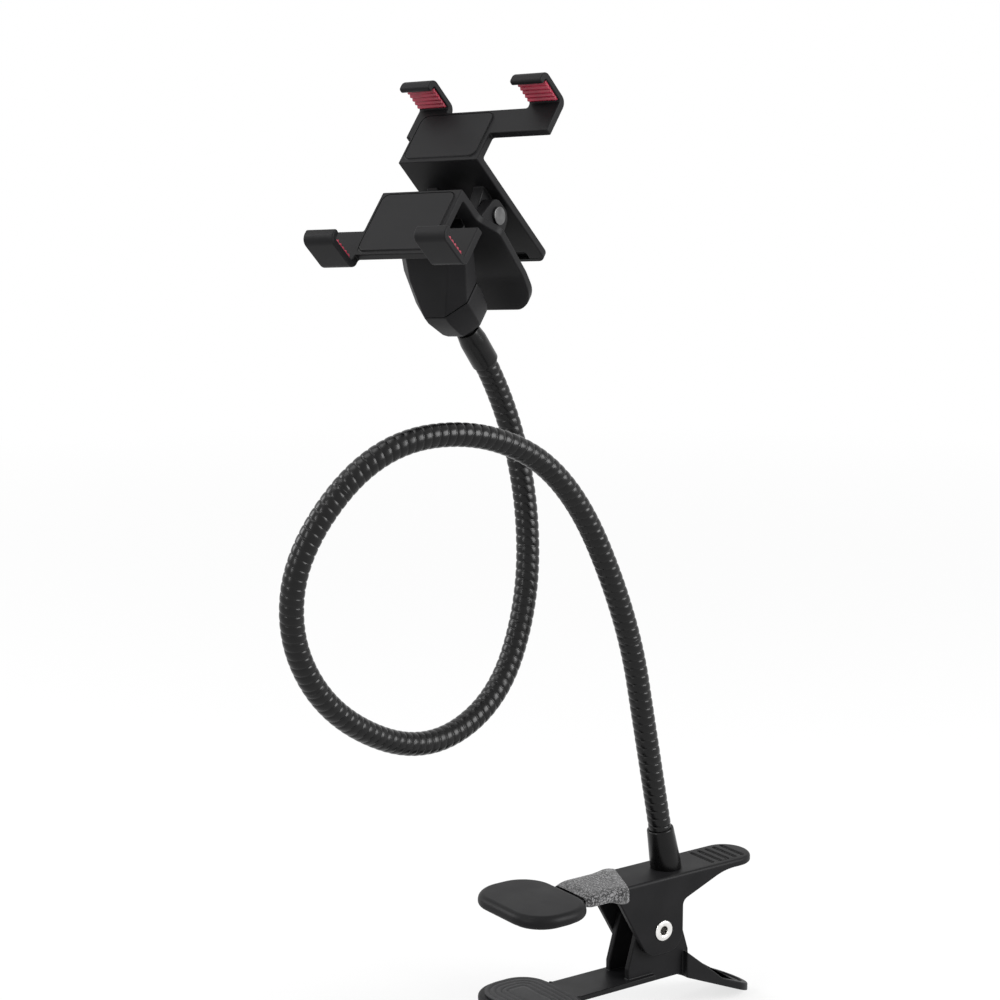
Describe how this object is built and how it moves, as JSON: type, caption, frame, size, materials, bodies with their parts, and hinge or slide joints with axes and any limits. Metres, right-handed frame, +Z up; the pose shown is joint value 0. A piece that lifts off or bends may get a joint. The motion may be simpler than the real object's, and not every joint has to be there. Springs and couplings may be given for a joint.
{
  "type": "phone gooseneck holder",
  "caption": "Bendable ribbed gooseneck with a loop, a spring desk clamp at its foot and a double-claw spring clip for a phone on a ball swivel at its head.",
  "frame": {"origin": "middle of the upper clamp pad's gripping face, which is the desk top's plane", "axes": "+Z up, +X along the clamp arm from the foot towards the handles, +Y along the clamp pivot"},
  "size_m": [0.1936, 0.0911, 0.3458],
  "materials": {
    "moulded_black": "satin moulded plastic",
    "neck_black": "semi-gloss black ribbed tube",
    "ferrule_black": "smooth satin black",
    "red_silicone": "matt ribbed silicone",
    "pad_rubber": "matt rubber",
    "woven_grey": "flecked grey and white weave",
    "eyelet_nickel": "bright nickel",
    "spring_steel": "drawn wire",
    "screw_steel": "zinc plated"
  },
  "bodies": {
    "clamp": {"upper_jaw": "moulded_black", "upper_jaw_pad": "pad_rubber", "pivot_eyelet": "eyelet_nickel", "clamp_spring": "spring_steel", "woven_sleeve": "woven_grey", "base_ferrule": "ferrule_black", "base_screw": "screw_steel", "neck_span_1": "neck_black"},
    "lower_clamp_jaw": {"lower_jaw": "moulded_black", "lower_jaw_pad": "pad_rubber"},
    "neck_2": {"neck_span_2": "neck_black"},
    "neck_3": {"neck_span_3": "neck_black"},
    "neck_4": {"neck_span_4": "neck_black"},
    "neck_5": {"neck_span_5": "neck_black"},
    "neck_6": {"neck_span_6": "neck_black"},
    "neck_7": {"neck_span_7": "neck_black"},
    "neck_8": {"neck_span_8": "neck_black", "head_ferrule": "ferrule_black"},
    "ball": {"swivel_ball": "moulded_black"},
    "clip_base": {"clip_lower_jaw": "moulded_black", "clip_pin": "screw_steel", "clip_spring": "spring_steel", "lower_claw_pad_a": "red_silicone", "lower_claw_pad_b": "red_silicone"},
    "nut": {"lock_nut": "moulded_black"},
    "clip_top": {"clip_upper_jaw": "moulded_black", "upper_claw_pad_a": "red_silicone", "upper_claw_pad_b": "red_silicone"}
  },
  "joints": [
    {"name": "clamp_hinge", "type": "hinge", "parent": "clamp", "child": "lower_clamp_jaw", "pos_m": [0.0526, 0, -0.016], "axis": [0, -1, 0], "range_deg": [-24, 35], "stiffness_Nm_per_rad": 1.2, "deforming": ["clamp_spring"]},
    {"name": "neck_bend_1", "type": "hinge", "parent": "clamp", "child": "neck_2", "pos_m": [0.05051, 0, 0.05804], "axis": [1, 0, 0], "range_deg": [-20, 20]},
    {"name": "neck_bend_2", "type": "hinge", "parent": "neck_2", "child": "neck_3", "pos_m": [0.02959, 0.0005, 0.12794], "axis": [0, 1, 0], "range_deg": [-20, 20]},
    {"name": "neck_bend_3", "type": "hinge", "parent": "neck_3", "child": "neck_4", "pos_m": [-0.0385, 0.0045, 0.17555], "axis": [0, 1, 0], "range_deg": [-20, 20]},
    {"name": "neck_bend_4", "type": "hinge", "parent": "neck_4", "child": "neck_5", "pos_m": [-0.0905, 0.0105, 0.12755], "axis": [0, 1, 0], "range_deg": [-20, 20]},
    {"name": "neck_bend_5", "type": "hinge", "parent": "neck_5", "child": "neck_6", "pos_m": [-0.0535, 0.016, 0.07005], "axis": [0, 1, 0], "range_deg": [-20, 20]},
    {"name": "neck_bend_6", "type": "hinge", "parent": "neck_6", "child": "neck_7", "pos_m": [0.0105, 0.0265, 0.08755], "axis": [0, 1, 0], "range_deg": [-20, 20]},
    {"name": "neck_bend_7", "type": "hinge", "parent": "neck_7", "child": "neck_8", "pos_m": [0.02236, 0.04214, 0.16104], "axis": [0, 1, 0], "range_deg": [-10, 20]},
    {"name": "head_spin", "type": "hinge", "parent": "neck_8", "child": "ball", "pos_m": [-0.0089, 0.0392, 0.21745], "axis": [-0.5887, -0.1297, 0.7979], "continuous": true},
    {"name": "head_tilt", "type": "hinge", "parent": "ball", "child": "clip_base", "pos_m": [-0.0089, 0.0392, 0.21745], "axis": [0.3344, -0.9377, 0.0943], "range_deg": [-16, 7]},
    {"name": "nut_turn", "type": "hinge", "parent": "clip_base", "child": "nut", "pos_m": [-0.0089, 0.0392, 0.21745], "axis": [-0.674, -0.1681, 0.7193], "range_deg": [-120, 0]},
    {"name": "clip_hinge", "type": "hinge", "parent": "clip_base", "child": "clip_top", "pos_m": [0.00028, 0.04501, 0.24271], "axis": [-0.3344, 0.9377, -0.0943], "range_deg": [-15, 22], "stiffness_Nm_per_rad": 0.6, "deforming": ["clip_spring"]}
  ]
}
